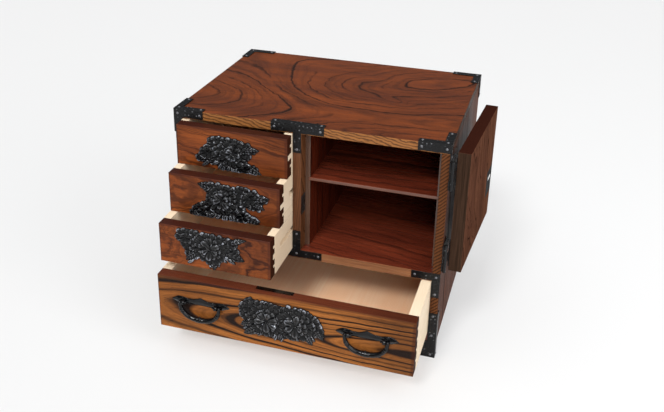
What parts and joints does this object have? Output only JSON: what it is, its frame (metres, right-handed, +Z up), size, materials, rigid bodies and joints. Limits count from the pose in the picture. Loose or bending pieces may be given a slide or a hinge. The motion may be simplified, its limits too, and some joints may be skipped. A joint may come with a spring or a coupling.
{
  "type": "tansu chest",
  "caption": "Small wooden chest with iron fittings, a row of stacked drawers beside a hinged-door cupboard with a shelf, and a full-width drawer with bail handles below.",
  "frame": {"origin": "centre of the wooden case's footprint, on the floor it stands on", "axes": "+Z up; -Y out of the front, the way the drawers slide; +X toward the door's hinges"},
  "size_m": [0.5308, 0.4999, 0.4129],
  "materials": {
    "lacquered_zelkova": "figured hardwood under a glossy red-brown lacquer",
    "drawer_front_zelkova": "bold-grained hardwood under a satin orange-brown lacquer",
    "stained_wood": "softwood with a dark red-brown stain",
    "paulownia": "bare pale softwood",
    "black_iron": "hammered wrought iron with a dark satin patina",
    "bright_steel": "worn bright steel"
  },
  "bodies": {
    "case": {"top_panel": "lacquered_zelkova", "left_side_panel": "lacquered_zelkova", "right_side_panel": "lacquered_zelkova", "bottom_panel": "stained_wood", "middle_panel": "stained_wood", "divider": "stained_wood", "back_panel": "stained_wood", "left_liner": "stained_wood", "right_liner": "stained_wood", "shelf": "stained_wood", "drawer_runners": "paulownia", "front_apron": "stained_wood", "rear_apron": "stained_wood", "front_corner_irons": "black_iron", "rear_corner_irons": "black_iron", "top_tee_iron": "black_iron", "divider_foot_iron": "black_iron", "rail_end_irons": "black_iron", "foot_irons": "black_iron", "case_nails": "black_iron", "hinge_side_leaves": "black_iron", "hinge_pins": "black_iron", "strike_plate": "black_iron"},
    "door": {"door_panel": "lacquered_zelkova", "hinge_door_leaves": "black_iron", "door_escutcheon": "black_iron", "door_lock_case": "black_iron", "door_nails": "black_iron"},
    "door_bolt": {"door_lock_bolt": "bright_steel"},
    "upper_drawer": {"upper_drawer_front": "drawer_front_zelkova", "upper_drawer_left_side": "paulownia", "upper_drawer_right_side": "paulownia", "upper_drawer_back": "paulownia", "upper_drawer_bottom": "paulownia", "upper_drawer_ornament": "black_iron"},
    "middle_drawer": {"middle_drawer_front": "drawer_front_zelkova", "middle_drawer_left_side": "paulownia", "middle_drawer_right_side": "paulownia", "middle_drawer_back": "paulownia", "middle_drawer_bottom": "paulownia", "middle_drawer_ornament": "black_iron"},
    "lower_drawer": {"lower_drawer_front": "drawer_front_zelkova", "lower_drawer_left_side": "paulownia", "lower_drawer_right_side": "paulownia", "lower_drawer_back": "paulownia", "lower_drawer_bottom": "paulownia", "lower_drawer_ornament": "black_iron"},
    "large_drawer": {"large_drawer_front": "drawer_front_zelkova", "large_drawer_left_side": "paulownia", "large_drawer_right_side": "paulownia", "large_drawer_back": "paulownia", "large_drawer_bottom": "paulownia", "large_drawer_ornament": "black_iron", "large_drawer_lock_strip": "black_iron", "handle_plates": "black_iron", "handle_posts": "black_iron"},
    "left_handle": {"left_bail": "black_iron"},
    "right_handle": {"right_bail": "black_iron"}
  },
  "joints": [
    {"name": "door_hinge", "type": "hinge", "parent": "case", "child": "door", "pos_m": [0.2452, -0.1832, 0], "axis": [0, 0, 1], "range_deg": [-266, 3]},
    {"name": "door_bolt_slide", "type": "slide", "parent": "door", "child": "door_bolt", "axis": [0.0698, 0.9976, 0], "range_m": [0, 0.008]},
    {"name": "upper_drawer_slide", "type": "slide", "parent": "case", "child": "upper_drawer", "axis": [0, -1, 0], "range_m": [-0.026, 0.214]},
    {"name": "middle_drawer_slide", "type": "slide", "parent": "case", "child": "middle_drawer", "axis": [0, -1, 0], "range_m": [-0.064, 0.176]},
    {"name": "lower_drawer_slide", "type": "slide", "parent": "case", "child": "lower_drawer", "axis": [0, -1, 0], "range_m": [-0.109, 0.131]},
    {"name": "large_drawer_slide", "type": "slide", "parent": "case", "child": "large_drawer", "axis": [0, -1, 0], "range_m": [-0.125, 0.115]},
    {"name": "left_bail_hinge", "type": "hinge", "parent": "large_drawer", "child": "left_handle", "pos_m": [-0.146, -0.312, 0.1122], "axis": [-1, 0, 0], "range_deg": [0, 170]},
    {"name": "right_bail_hinge", "type": "hinge", "parent": "large_drawer", "child": "right_handle", "pos_m": [0.146, -0.312, 0.1122], "axis": [-1, 0, 0], "range_deg": [0, 170]}
  ]
}
